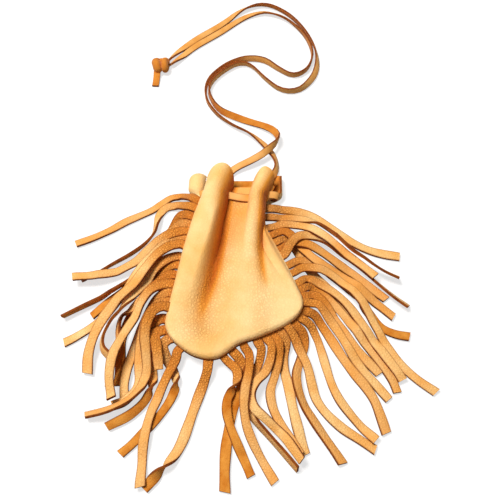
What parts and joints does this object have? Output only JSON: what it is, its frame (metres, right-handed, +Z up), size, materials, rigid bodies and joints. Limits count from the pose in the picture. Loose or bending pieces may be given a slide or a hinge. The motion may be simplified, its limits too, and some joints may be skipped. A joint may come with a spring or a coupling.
{
  "type": "fringed leather drawstring pouch",
  "caption": "Soft leather pouch lying on its back, neck gathered by a flat lace whose long tails end in a knot; cut leather fringe along the side and bottom seam. Holds small keepsakes.",
  "frame": {"origin": "on the table under the middle of the pouch's body, at the flat back panel's outer face", "axes": "+Z up from the table through the back panel to the front panel, +Y from the bottom seam towards the mouth, +X to the right as seen in the picture"},
  "size_m": [0.2113, 0.3781, 0.0206],
  "materials": {
    "panel_leather": "soft golden tan grain, matt",
    "fringe_leather": "golden tan grain on one side, darker suede on the other",
    "lace_leather": "matt tan lace with rounded edges",
    "thread": "waxed tan sewing thread"
  },
  "bodies": {
    "root": {"front_panel": "panel_leather", "back_panel": "panel_leather", "fringe": "fringe_leather", "seam_thread": "thread", "drawstring": "lace_leather", "drawstring_tail_left": "lace_leather", "drawstring_tail_right": "lace_leather", "end_knot": "lace_leather"}
  },
  "joints": []
}
